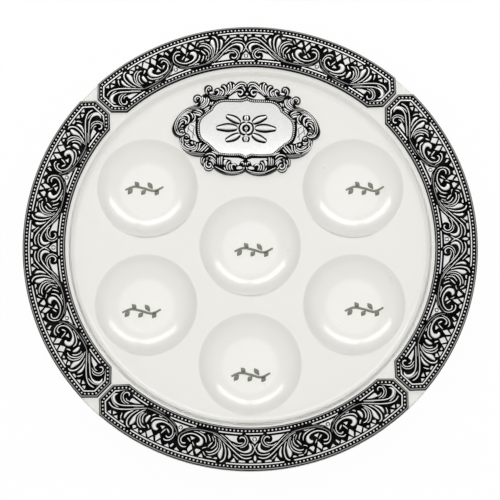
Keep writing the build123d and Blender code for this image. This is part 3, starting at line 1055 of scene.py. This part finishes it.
# The right half of the ornament, layer by layer, measured from the cartouche's middle
cartouche_ridges = {
    "crest outer": (
        (0.9, 38.9, 0.6), (1.6, 41, 0.9), (3.2, 42, 1.0), (5.4, 42.1), (7.6, 41.2), (9.8, 39.2),
        (12, 36.7, 0.9), (14.6, 34, 0.8), (17.6, 31.3, 0.6)),
    "crest inner": (
        (2.4, 38.6, 0.6), (4, 39.7, 0.9), (6, 39.8, 1.0), (8, 38.8), (10.2, 36.6, 0.9), (12.8, 34, 0.8),
        (15.8, 31.2, 0.6)),
    "crest hook": ((2, 34.8, 0.7), (2.1, 36.4, 1.1), (3, 37.7, 1.0), (4.6, 38.1, 0.6)),
    "top spiral": (
        (11, 34.4, 0.5), (8.6, 35.6, 0.8), (6.2, 35.9, 1.0), (4.5, 35.2, 1.1), (3.8, 33.8), (4.4, 32.3),
        (5.8, 31.3, 1.2), (7.2, 32, 1.3), (7.2, 33.3, 1.0)),
    "acanthus first": (
        (12.3, 41.6, 0.6), (12, 39.8, 1.1), (11.9, 38, 1.0), (12.6, 36.2, 0.8), (13.6, 34.8, 0.6)),
    "acanthus second": (
        (15.7, 43.3, 0.6), (15.1, 41.6, 1.2), (14.4, 39.4, 1.0), (14.3, 37, 0.9), (15, 34.6, 0.8),
        (17, 32, 0.6)),
    "acanthus third": (
        (16.9, 41.2, 0.7), (16.7, 39.4, 1.3), (16.4, 37, 1.1), (16.9, 34.7, 0.9), (18.4, 32, 0.8),
        (20.4, 30, 0.6)),
    "acanthus fourth": (
        (22.6, 39.3, 0.7), (20.9, 39.2, 1.2), (19.4, 37.6), (18.7, 35.4, 1.0), (19, 33.2, 0.8),
        (20, 31.5, 0.6)),
    "small scroll": (
        (23.6, 29.9, 0.6), (22, 31.4, 1.1), (21.1, 33.4, 1.2), (21.6, 35.2, 1.1), (23.2, 36.5, 1.0),
        (25, 36.8, 0.7)),
    "small scroll middle": ((25, 30.2, 0.6), (23.8, 31.8, 1.0), (23.2, 33.4), (23.6, 34.8, 0.7)),
    "small scroll inside": (
        (27.6, 30, 0.6), (26, 31.6, 1.0), (25.2, 33.3), (25.6, 34.9, 1.2), (27, 35.5, 1.4),
        (28.2, 34.6, 0.9)),
    "belly": ((29.6, 34.2, 0.7), (30.6, 32.9, 1.5), (32.4, 32.5, 1.7), (34, 33.2, 1.0)),
    "first curl": (
        (35.2, 31.2, 0.6), (36.4, 33, 0.8), (36.5, 35.2, 1.0), (35.4, 37.3), (33.8, 38, 0.9), (32.7, 37),
        (32.8, 35.5, 0.7)),
    "shoulder leaf first": (
        (34.6, 27.8, 0.7), (34.3, 25.6, 1.1), (34.6, 23.4), (35.8, 21.2), (38, 19.3, 1.0), (41, 18, 0.7)),
    "shoulder leaf second": (
        (36, 28.6, 0.6), (35.9, 26.2, 0.8), (36.2, 24), (37.4, 21.9), (39.8, 20.2, 0.7), (42.5, 19.3, 0.5)),
    "shoulder leaf third": (
        (38.6, 28.2, 0.7), (37.8, 26.4, 1.3), (37.8, 24.5), (39, 22.6, 1.1), (41.4, 21, 0.7)),
    "second curl": (
        (42.2, 24.4, 0.6), (41.2, 25.8, 1.0), (41.4, 27.6), (43, 28.9), (45.1, 28.7), (46.4, 27.2),
        (46.2, 25.4), (44.8, 24.5, 0.8)),
    "second curl root": ((43.3, 23, 0.6), (44.8, 21.9, 0.9), (46.6, 20.8, 0.6)),
    "notch leaf": ((29.8, 24.6, 0.6), (30.6, 23.4, 1.0), (31.3, 22.2, 1.3), (31.2, 21, 0.7)),
    "notch leaf outside": ((32.6, 24.4, 0.6), (32.6, 22.6, 0.9), (33.2, 20.9, 0.7)),
    "corner leaf": ((32.9, 19.9, 0.8), (34.5, 18.6, 1.2), (36.6, 17.4, 1.0), (38.6, 16.9, 0.6)),
    "inner leaf": ((39.3, 13.2, 0.6), (40.4, 14.9, 1.0), (42.6, 16, 1.1), (45.4, 16.5, 0.7)),
    "inner leaf second": ((40.2, 11.8, 0.7), (41.8, 13.4, 0.8), (44.2, 14.4), (47.4, 15, 0.5)),
    "inner leaf third": ((40.9, 10.6, 0.8), (42.4, 11.6, 1.6), (44.6, 12.2, 1.3), (46, 12.7, 0.6)),
    "bud": ((41.6, 9, 0.7), (42.5, 8.2, 1.0), (43.6, 7.5, 0.8)),
    "lattice leaf": (
        (47.9, 13.4, 0.6), (46.3, 11.8, 1.1), (45.8, 9.6, 1.0), (46.2, 7.4, 0.9), (47.4, 5.7),
        (48.6, 5, 0.6)),
    "lattice leaf second": ((50.4, 13.6, 0.6), (48.8, 12, 1.0), (48, 10), (48.4, 8.4, 0.6)),
    "side spiral": (
        (58.4, 9.5, 0.6), (55.8, 11.1, 1.0), (53.2, 11, 1.4), (51.6, 9.2, 1.5), (51.3, 6.8, 1.3),
        (51.9, 4.8, 1.1), (53, 3.4, 0.7)),
    "side spiral inside": (
        (59.6, 4.6, 0.6), (57.8, 6.6, 0.9), (55.8, 7), (54.2, 6), (53.8, 4.4, 1.2), (54.6, 2.9, 1.0)),
    "side spiral third": ((60.6, 6.8, 0.5), (58.6, 8.4, 0.8), (56, 8.9), (53.9, 8.2, 0.5)),
    "side line": (
        (48.5, 15.9, 0.5), (52, 15.2, 0.7), (55.4, 13.2), (58.4, 10.2), (60.7, 6.2), (61.9, 2),
        (62, -2, 0.5)),
    "side line outer": (
        (51, 17.3, 0.5), (54.6, 15.6, 0.7), (58, 12.7), (60.9, 8.8), (63, 4), (63.7, 0), (63.2, -3.6, 0.5)),
    "lobe curl": ((55.4, -4.6, 0.7), (56.4, -3.2, 1.1), (58, -3.4, 0.9), (58.8, -4.6, 0.7)),
    "lobe line": ((54.4, -5.3, 0.6), (56, -6.7, 0.9), (58.6, -7.1), (61.3, -5.9), (62.9, -3.4, 0.5)),
    "lobe line inside": ((56.6, -5.3, 0.5), (58.6, -5.9, 0.6), (60.6, -4.6), (61.3, -2, 0.5)),
    "second lobe curl": ((51.3, -9.6, 0.8), (51.7, -8, 1.1), (53.2, -7.3, 1.0), (54.6, -8, 0.7)),
    "second lobe eye": ((52.6, -9.7, 0.8), (54, -9.2, 1.0)),
    "second lobe line": ((55.8, -8.4, 0.5), (56.4, -10.4, 0.8), (56.3, -13), (55.2, -15.6, 0.6)),
    "third lobe eye": ((47.2, -15.6, 1.2), (47.9, -14.2, 2.0), (49.4, -13.9, 1.4)),
    "third lobe line": (
        (45.4, -16.6, 0.6), (47.2, -18, 1.0), (50, -18.2), (52.8, -16.8), (54.4, -14.6, 0.6)),
    "third lobe outer line": (
        (44.6, -17.6, 0.6), (46, -19.6, 1.0), (49, -20.2, 0.9), (52.8, -19.4), (55.8, -17.2),
        (57.2, -14.2, 0.6)),
    "fan first": ((32.9, -18.3, 0.6), (34.4, -20, 0.8), (36.6, -22, 0.6)),
    "fan second": ((33.8, -15.4, 0.6), (35.4, -17.7, 1.0), (37.8, -20.3), (40.2, -22.4, 0.7)),
    "fan third": ((36, -15, 0.6), (37.8, -17.3, 0.9), (39.6, -19.6), (41.8, -21.9, 0.6)),
    "fan fourth": (
        (39.2, -14.6, 0.7), (40.9, -15.2, 1.2), (41.2, -17.2, 1.0), (41.6, -19.4), (43.2, -21.6, 0.7)),
    "fan fifth": ((43, -14.6, 0.6), (43.6, -16.8, 0.9), (43.7, -19.2), (45.4, -21.4, 1.0), (48.6, -22, 0.7)),
    "lower rail": ((50, -22.2, 0.6), (54, -20.6, 0.8), (57.2, -17.6), (58.7, -13.6), (58.4, -10, 0.5)),
    "corner bud": ((24.5, -24.8, 0.7), (26, -23.5, 1.1), (28.2, -22.7, 1.0), (30.4, -21.7, 0.7)),
    "root leaf first": (
        (26.4, -27.2, 0.6), (28, -25, 1.0), (30.6, -23.8), (33.6, -24.1, 0.8), (36, -25.4, 0.5)),
    "root leaf second": ((26.2, -31, 0.6), (28.2, -28.6, 0.9), (30.8, -26.8), (33.2, -26.2, 0.6)),
    "root leaf third": ((26.4, -33.2, 0.6), (28.8, -30.2, 0.9), (31.4, -28.4, 0.7)),
    "bar first": ((20.9, -25.8, 0.6), (21.2, -29.5, 1.0), (21, -34, 0.6)),
    "bar second": ((22.7, -26.2, 0.6), (23, -30, 1.0), (22.8, -34.2, 0.6)),
    "bar third": ((24.4, -27.4, 0.6), (24.7, -30.2, 0.8), (24.4, -33.4, 0.6)),
    "bottom leaf": ((15.8, -29.4, 0.8), (17.6, -30.2, 2.0), (18.4, -32.2, 2.2), (18.2, -34.4, 1.0)),
    "bottom scroll": (
        (8.2, -34.7, 0.8), (9.4, -33.5, 1.2), (11.2, -33.4), (12.4, -34.8, 1.1), (12, -37),
        (10.8, -38.4, 0.7)),
    "bottom scroll middle": ((13, -33.2, 0.6), (14.3, -34.7, 0.9), (14.1, -37), (12.9, -38.8, 0.6)),
    "bottom scroll outside": (
        (13.4, -30.4, 0.7), (15.2, -31.9, 1.0), (16.4, -34.2), (16.4, -36.8), (15.4, -38.8, 0.7)),
    "bottom scroll edge": ((18.8, -35.6, 0.6), (18.4, -37.6, 0.8), (17, -39.2, 0.6)),
    "bottom ring": ((1.8, -33.9, 0.6), (1.8, -32.2, 0.9), (3, -31.2), (4, -32.3, 0.8)),
    "bottom rail": (
        (1.6, -38.2, 0.5), (4.6, -39.7, 0.7), (9, -40.5), (14, -40.6), (19, -39.6), (23, -37.7),
        (27, -35.6, 0.5)),
    "knob spiral": (
        (34, -30.4, 0.6), (35, -32.6, 0.9), (34.7, -35, 1.0), (33, -36.5), (31.1, -36), (30.6, -34.3),
        (31.6, -32.9), (33, -33.2, 0.8)),
    "knob outer line": (
        (29.4, -37.4, 0.5), (31.2, -38.6, 0.8), (33.6, -38.7), (35.6, -37.2), (36.5, -34.8),
        (36.3, -32.2, 0.6)),
    "knob collar": ((36.2, -28.2, 0.6), (37.3, -30, 0.9), (37.8, -32, 0.8), (37.6, -33.6, 0.6)),
    "crest knot": ((0, 33.6, 1.0), (0, 32, 2.4), (0, 30.9, 1.0)),
    "crest ledge": ((0.5, 29.9, 0.6), (2, 29.4, 0.9), (4, 28.6), (6, 28.2, 0.7)),
    "notch stem": ((30.5, 19.8, 0.6), (30.8, 18.2, 0.9), (31.6, 16.9, 0.7)),
    "corner line": ((33.6, 17.6, 0.6), (35.4, 16.2, 0.9), (37.4, 14.8, 0.6)),
    "first curl eye": ((33.7, 36.4, 0.6), (34.5, 35.4, 1.0), (34.3, 34.4, 0.6)),
    "second curl eye": ((43.2, 27.4, 0.6), (44.4, 27.2, 0.9), (44.8, 26.2, 0.6)),
    "second curl leaf": ((39.9, 29.3, 0.6), (39.6, 27.4, 0.9), (40, 25), (41.4, 23, 0.6)),
    "side hollow line": ((49.6, 14.5, 0.5), (52, 13.8, 0.8), (54.8, 12.5), (57, 10.9, 0.5)),
    "side spiral eye": ((56, 5, 0.7), (57.8, 4.2, 1.0), (59.4, 2.2), (60.2, -0.4, 0.6)),
    "side spiral tail": ((55.6, 1.6, 0.6), (57, 1.2, 1.0), (58.2, 0.2, 0.6)),
    "second lobe belly": ((50.6, -11.2, 0.7), (52, -12.4, 1.0), (53.9, -12.4), (55, -11, 0.6)),
    "second lobe belly inside": ((50.8, -13.2, 0.5), (52.4, -14, 0.8), (54.2, -13.6, 0.5)),
    "third lobe belly": ((49.6, -16.4, 0.6), (51.2, -16, 0.9), (52.4, -15, 0.6)),
    "fan sixth": ((45.2, -12.9, 0.6), (45.4, -14.4, 0.9), (44.8, -16, 0.6)),
    "knob eye": ((32, -34.8, 0.8), (33, -34.9, 1.0)),
    "knob leaf": ((28.6, -34.4, 0.6), (28.6, -32.6, 0.9), (30, -30.6), (32.4, -29.6, 0.6)),
    "knob leaf outside": ((28, -36.2, 0.6), (29.4, -36.4, 0.8), (29.2, -34.6, 0.6)),
    "bottom knot": ((0, -31.4, 0.8), (0, -32.8, 1.6), (0, -34, 0.8)),
    "bottom middle line": ((0.6, -35.4, 0.6), (1.4, -36.6, 0.9), (1.2, -38, 0.6)),
    "knob collar outer line": ((38, -27, 0.5), (39.1, -29, 0.7), (39.4, -31.2), (38.9, -33, 0.5)),
}

cartouche_dim_ridges = {
    "shoulder upper line": ((18, 29.6, 0.8), (22, 29.1, 1.0), (26, 29.3), (30, 30.2), (33, 31.3, 0.6)),
    "shoulder middle line": ((20, 27.9, 0.8), (24, 27.7, 1.0), (28, 28), (31.5, 28.9), (34, 30.2, 0.6)),
    "shoulder lower line": ((25.6, 26.5, 0.6), (28.6, 26.6, 0.9), (31.6, 27.4), (33.2, 28.6, 0.5)),
    "side shoulder upper line": ((44, 20.4, 0.6), (47, 19.9, 0.8), (50, 19.2, 0.5)),
    "side shoulder middle line": ((41, 18.9, 0.6), (45, 18.6, 1.0), (49, 18.7), (52.4, 17.9, 0.6)),
    "side shoulder lower line": ((41.5, 17.4, 0.6), (45, 17.3, 1.0), (49, 17.2), (52.4, 16.4, 0.6)),
    "lower edge": ((36, -23.8, 0.7), (40, -24.1, 1.0), (45, -23.6), (50, -23.3), (54, -21.9, 0.7)),
    "lower edge outside": ((37, -25.3, 0.6), (41, -25.4, 0.9), (46, -24.9), (50.6, -24.3, 0.6)),
    "first lobe line": ((56, -2, 0.6), (57.4, -1, 0.8), (59, -1.2), (60, -2.8, 0.5)),
    "second lobe outer line": ((57.4, -8.6, 0.5), (57.6, -11, 0.7), (57, -14, 0.5)),
    "knob root": ((33.2, -27.4, 1.2), (34.2, -28.6, 1.8), (34.4, -30.4, 1.0)),
    "bottom edge": ((4, -41, 0.6), (8, -41.7, 1.0), (13, -41.8), (18, -40.9, 0.6)),
    "top edge": ((1.8, 43.2, 0.5), (3.6, 43.8, 0.7), (6.4, 43.8), (8.6, 42.7, 0.5)),
}

cartouche_grooves = {
    "first lattice line": ((46.4, 1.2, 0.45), (47.2, -5), (47.6, -10.4)),
    "second lattice line": ((50.9, 2.2, 0.45), (51.6, -1.4), (52.4, -5)),
    "third lattice line": ((45.4, -8, 0.45), (47.4, -5.2), (50.6, -2.2), (53, 0)),
    "fourth lattice line": ((46.2, 0.6, 0.45), (48.6, 2.2), (50.2, 3.2)),
}

cartouche_grounds = {
    "top ground": (
        (8.6, 33.8), (10.6, 33), (13.2, 31.2), (16.2, 28.9), (16, 27.5), (5, 27.5), (6.2, 28.6),
        (7.8, 29.8), (8.7, 31.6)),
    "lattice ground": (
        (45.4, 6.2), (47, 4.7), (50.2, 4), (51.2, 2.4), (53.2, 0.6), (54.6, -2), (53.6, -4.9),
        (51.2, -6.2), (49.8, -8.4), (49.4, -11), (46.4, -11.8), (44.2, -13), (41.8, -12.8), (43.8, -9.4),
        (45.1, -5.4), (45.6, 0)),
    "bottom ground": (
        (1.6, -28.8), (6, -27.4), (19, -27.2), (19.2, -28.4), (16, -28.6), (13.6, -29.2), (12.4, -30.6),
        (12.6, -32), (10.8, -32.2), (8.6, -32.4), (7, -33.8), (6, -34.2), (5.2, -32.4), (4.4, -30.6),
        (2.8, -30.2)),
    "lower bottom ground": (
        (2.4, -36), (4.4, -34.9), (6.6, -35.2), (8, -36.4), (7.4, -37.6), (4.8, -37.6), (3.2, -37.2)),
}

# What stands in the field: a plain rosette between leaves, outlined in dark
rosette = {
    "ring": ((0, 4.6, 1.8), (3.3, 3.3), (4.6, 0), (3.3, -3.3), (0, -4.6)),
    "eye": ((0, 1, 1.4), (1, 0), (0, -1)),
    "side leaf": ((7.5, 0.2, 1.2), (12, 0.6, 3.8), (18, 0.6, 4.4), (27, 0, 1.0)),
    "upper leaf": ((5.2, 5, 1.0), (9, 7.4, 3.2), (13, 9.4, 3.2), (18.5, 11.6, 0.9)),
    "lower leaf": ((5.2, -5, 1.0), (9, -7.4, 3.2), (13, -9.4, 3.2), (18.5, -11.6, 0.9)),
    "top bud": ((0.5, 7.4, 1.2), (1.1, 9.6, 1.8), (0.4, 12.4, 0.8)),
    "bottom bud": ((0.5, -7.4, 1.2), (1.1, -9.6, 1.8), (0.4, -12.4, 0.8)),
}


def lobed_ring(lobes, width, height):
    """Points round a shape with mirrored halves, each a chain of arcs from lobe to lobe."""
    starts = [Vector((x * width / 2, y * height / 2)) for x, y, _ in lobes]
    right = []
    for start, end, (_, _, swell) in zip(starts, starts[1:], lobes):
        chord = end - start
        half_angle = 2 * math.atan(2 * swell)
        radius = chord.length / (2 * math.sin(half_angle))
        along = chord.normalized()
        outwards = Vector((-along.y, along.x))
        count = max(2, round(2 * abs(radius * half_angle) / lobe_step))
        for number in range(count):
            angle = half_angle * (2 * number / count - 1)
            side = along * radius * math.sin(angle)
            bulge = outwards * radius * (math.cos(angle) - math.cos(half_angle))
            right.append(start + chord / 2 + side + bulge)
    left = [Vector((-point.x, point.y)) for point in reversed(right[1:])]
    return [*right, starts[-1], *left]


def inset_ring(points, inset):
    """A ring of points moved inwards along the bisector at each of them, for points given clockwise."""
    moved_points = []
    for before, here, after in zip(points[-1:] + points[:-1], points, points[1:] + points[:1]):
        along = (after - before).normalized()
        moved_points.append(here + Vector((along.y, -along.x)) * inset)
    return moved_points


def inside_ring(points, x, y):
    """Whether a point lies inside a ring of points."""
    inside = False
    for here, after in zip(points, points[1:] + points[:1]):
        if (here.y > y) != (after.y > y):
            crossing = here.x + (y - here.y) / (after.y - here.y) * (after.x - here.x)
            inside = inside != (x < crossing)
    return inside


def cartouche_shell():
    """The stamped shell under the cartouche's ornament: hollow back, wall and polished field."""
    outline = lobed_ring(cartouche_lobes, cartouche_width, cartouche_height)
    field_edge = lobed_ring(field_lobes, cartouche_field_width, cartouche_field_height)
    field = inset_ring(field_edge, cartouche_field_bevel)
    pocket_half = Vector((cartouche_pocket_width / 2, cartouche_pocket_height / 2))
    pocket = []
    for step in range(cartouche_pocket_corners):
        angle = 2 * math.pi * step / cartouche_pocket_corners
        pocket.append(Vector((pocket_half.x * math.cos(angle), pocket_half.y * math.sin(angle))))
    # Inset from the outline, height and polish, from the wall's foot over its raised edge to the ground
    wall_profile = (
        (0.0, 0.0, 0.0),
        (0.0, ground_height - 0.1, 0.05),
        (0.25, ground_height + 0.25, 0.2),
        (0.6, ground_height + 0.25, 0.05),
        (0.75, ground_height, 0.0),
    )
    bm = bmesh.new()
    bm.verts.layers.float.new("polish")
    ceiling = polished_ring(bm, pocket, hollow_depth, hollow_polish)
    brim = polished_ring(bm, pocket, 0.0, hollow_polish)
    wall = [
        polished_ring(bm, inset_ring(outline, inset), height, polish)
        for inset, height, polish in wall_profile
    ]
    edge = polished_ring(bm, field_edge, ground_height, 0.0)
    floor = polished_ring(bm, field, ground_height - cartouche_field_sink, cartouche_field_polish)
    skin(bm, [ceiling, brim])
    skin(bm, wall)
    skin(bm, [edge, floor])
    caps = [bm.faces.new(ceiling), bm.faces.new(floor)]
    bmesh.ops.triangulate(bm, faces=caps)

    def in_pocket(x, y):
        """Whether a place on the back lies in the pocket."""
        return (x / pocket_half.x) ** 2 + (y / pocket_half.y) ** 2 < pocket_hole_share

    flat_fill(bm, [wall[0], brim], in_pocket)
    flat_fill(bm, [wall[-1], edge], lambda x, y: inside_ring(field_edge, x, y))
    return closed_mesh(bm, "cartouche_shell")


def lifted_to_ground(tree, ornament):
    """The cartouche's ornament, lifted to the ground of its shell."""
    return tree.add("GeometryNodeTransform", {
        "Geometry": ornament, "Translation": (0.0, 0.0, ground_height * MM)})


def cartouche_plaque():
    """The stamped cartouche in the sixth place of the wells' hexagon."""
    outlines = {}
    for name, stroke in rosette.items():
        outlines[f"{name} outline"] = [(x, y, width + rosette_outline) for x, y, width in with_widths(stroke)]
    ornament = {
        "Ridges": cartouche_ridges | rosette,
        "Dull Ridges": cartouche_dim_ridges,
        "Grooves": cartouche_grooves | outlines,
        "Grounds": cartouche_grounds,
        "Shades": {},
    }
    moulding_width = cartouche_field_width + 2 * moulding_offset
    moulding_height = cartouche_field_height + 2 * moulding_offset
    moulding = lobed_ring(field_lobes, moulding_width, moulding_height)
    tree = dressing_tree("cartouche_dressing", lifted_to_ground, ground_height + moulding_bead_lift)
    mesh = stamped_mesh(
        "cartouche_stamped", cartouche_shell(), tree, ornament, cartouche_line_share,
        moulding, moulding_bead_pitch, moulding_bead_radius)
    place = Matrix.Translation(Vector((cartouche_shift, well_pitch + cartouche_lift, field_top)) * MM)
    mesh.transform(place @ Matrix.Rotation(math.radians(cartouche_turn), 4, "Z"))
    mesh.set_sharp_from_angle(angle=math.radians(sharp_angle))
    placed_piece("cartouche_stamped", mesh, "antique_silver", "cartouche_plaque")


# Printed marks

# A plain sprig, printed once in each well
sprig = {
    "stem": ((-17, -1.5, 1.7), (-9, 1.6, 2.2), (0, 0), (9, -2.2), (17, 1.5, 1.7)),
    "first leaf": ((-14.5, -5.5, 0.5), (-12.6, -2.8, 4.2), (-10.4, -0.2, 0.8)),
    "second leaf": ((-8.5, 6.2, 0.5), (-6.5, 4, 4.2), (-4.8, 2.2, 0.8)),
    "third leaf": ((-2.5, -6, 0.5), (-0.8, -3.6, 4.2), (1.4, -1.55, 0.8)),
    "fourth leaf": ((3, 5.6, 0.5), (5, 3, 4.2), (7.4, -0.45, 0.8)),
    "fifth leaf": ((9.5, -6.4, 0.5), (11.2, -4, 4.2), (12.8, -1.7, 0.8)),
}

# How far each mark lies from the middle of its well
mark_offsets = {
    "middle": (3.0, -1.5),
    "back_left": (-3.3, 2.0),
    "back_right": (11.0, 2.0),
    "front_left": (-4.4, -4.0),
    "front_right": (9.0, -2.5),
    "front": (0.4, -8.0),
}


def mark_tree():
    """Flat strokes laid on the surface of a well."""
    tree, inputs = geometry_tree("printed_mark", {
        "Strokes": "NodeSocketObject",
        "Step": "NodeSocketFloat",
        "Offset": "NodeSocketVector",
        "Well": "NodeSocketVector",
        "Ink Thickness": "NodeSocketFloat",
    })
    # The height here only tells upper points from lower ones: the ink's thickness is set further down
    profile = tree.add("GeometryNodeCurvePrimitiveQuadrilateral", {"Width": 1.0, "Height": 0.04})
    ribbon = tree.add("GeometryNodeCurveToMesh", {
        "Curve": smooth_strokes(tree, inputs["Strokes"], inputs["Step"]),
        "Profile Curve": profile,
        "Scale": tree.add("GeometryNodeInputRadius"),
        "Fill Caps": True,
    })
    flat = tree.add("GeometryNodeSetPosition", {"Geometry": ribbon, "Offset": inputs["Offset"]})
    x, y, z = position_parts(tree)
    beyond_floor = ((x * x + y * y).math("SQRT") - (well_radius - well_wall_run) * MM).math("MAXIMUM", 0.0)
    hollow = arc_pair(well_wall_run, well_depth, well_lip_radius)[1] * MM
    wall = hollow - (hollow * hollow - beyond_floor * beyond_floor).math("SQRT")
    top = z.math("GREATER_THAN", 0.0) * inputs["Ink Thickness"]
    draped = moved(tree, flat, x, y, wall + top + (glass_thickness + ink_gap) * MM)
    placed = tree.add("GeometryNodeSetPosition", {"Geometry": draped, "Offset": inputs["Well"]})
    finished_tree(tree, placed, ink)
    return tree


def printed_marks():
    """The six printed marks."""
    tree = mark_tree()
    strokes = stroke_curves("sprig", sprig)
    for name, centre in well_centres().items():
        offset = mark_offsets[name]
        values = {
            "Strokes": strokes,
            "Step": mark_step * MM,
            "Offset": (offset[0] * MM, offset[1] * MM, 0.0),
            "Well": (centre.x * MM, centre.y * MM, 0.0),
            "Ink Thickness": ink_thickness * MM,
        }
        mesh = grown_mesh(f"printed_mark_{name}", tree, values)
        placed_piece(f"printed_mark_{name}", mesh, None)
    bpy.data.curves.remove(strokes.data)


# Foam strips

def foam_strips():
    """The foam strips keep the frame's shape and take the foam's finish."""
    for name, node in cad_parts.items():
        if name.startswith("foam_strip"):
            node.data.materials.clear()
            node.data.materials.append(foam)


# Stage

def seen_share(tree):
    """The light path, and one for rays that come straight from the camera or through glass."""
    path = tree.add("ShaderNodeLightPath")
    return path, (path + path.out("Is Transmission Ray")).math("MINIMUM", 1.0)


def studio_floor():
    """A plain white floor that shows as white, with the object's shadow kept faintly."""
    material, tree = new_material("studio_floor")
    matt = tree.add("ShaderNodeBsdfDiffuse", {"Color": paper})
    glow = tree.add("ShaderNodeEmission", {"Color": white, "Strength": 1.0})
    seen = seen_share(tree)[1]
    mixed = tree.add("ShaderNodeMixShader", {0: seen * floor_glow, 1: matt, 2: glow})
    tree.add("ShaderNodeOutputMaterial", {"Surface": mixed})
    bm = bmesh.new()
    bmesh.ops.create_grid(bm, x_segments=1, y_segments=1, size=floor_half_width * MM)
    mesh = bpy.data.meshes.new("studio_floor")
    bm.to_mesh(mesh)
    bm.free()
    mesh.materials.append(material)
    floor = bpy.data.objects.new("studio_floor", mesh)
    floor.location.z = -floor_drop * MM
    bpy.context.scene.collection.objects.link(floor)


def studio_world():
    """White surroundings: full white where seen, and dimmer towards the horizon where mirrored."""
    world = bpy.data.worlds.new("studio")
    world.use_nodes = True
    world.node_tree.nodes.clear()
    tree = Tree(world.node_tree)
    path, seen = seen_share(tree)
    direction = tree.add("ShaderNodeTexCoord")
    height = tree.add("ShaderNodeSeparateXYZ", {"Vector": direction}).out("Z")
    overhead = (height * horizon_fade).clamped()
    lit = ambient_level + (1.0 - ambient_level) * seen
    mirrored = (mirrored_overhead - mirrored_horizon) * overhead - (ambient_level - mirrored_horizon)
    strength = lit + path.out("Is Glossy Ray") * mirrored
    backdrop = tree.add("ShaderNodeBackground", {"Color": white, "Strength": strength})
    tree.add("ShaderNodeOutputWorld", {"Surface": backdrop})
    bpy.context.scene.world = world


def softboxes():
    """Rectangular area lamps that point at the middle of the plate."""
    for name, place in softbox_places.items():
        lamp = bpy.data.lights.new(name, "AREA")
        lamp.shape = "RECTANGLE"
        lamp.size = softbox_width * MM
        lamp.size_y = softbox_depth * MM
        lamp.energy = softbox_power
        holder = bpy.data.objects.new(name, lamp)
        holder.location = Vector(place) * MM
        holder.rotation_euler = (-Vector(place)).to_track_quat("-Z", "Y").to_euler()
        bpy.context.scene.collection.objects.link(holder)


def photo_camera():
    """The camera, at the photograph's angle: in front of the plate and high above it."""
    camera = bpy.data.cameras.new("camera")
    camera.lens = camera_lens
    camera.sensor_width = camera_sensor
    holder = bpy.data.objects.new("camera", camera)
    tilt = math.radians(camera_tilt)
    back = Vector((0.0, -math.sin(tilt), math.cos(tilt)))
    holder.location = Vector(camera_aim) * MM + back * (camera_distance * MM)
    holder.rotation_euler = (-back).to_track_quat("-Z", "Y").to_euler()
    bpy.context.scene.collection.objects.link(holder)
    bpy.context.scene.camera = holder


bpy.context.scene.view_settings.view_transform = "Standard"
glass_plate()
rim_plaques()
cartouche_plaque()
printed_marks()
foam_strips()
studio_floor()
studio_world()
softboxes()
photo_camera()
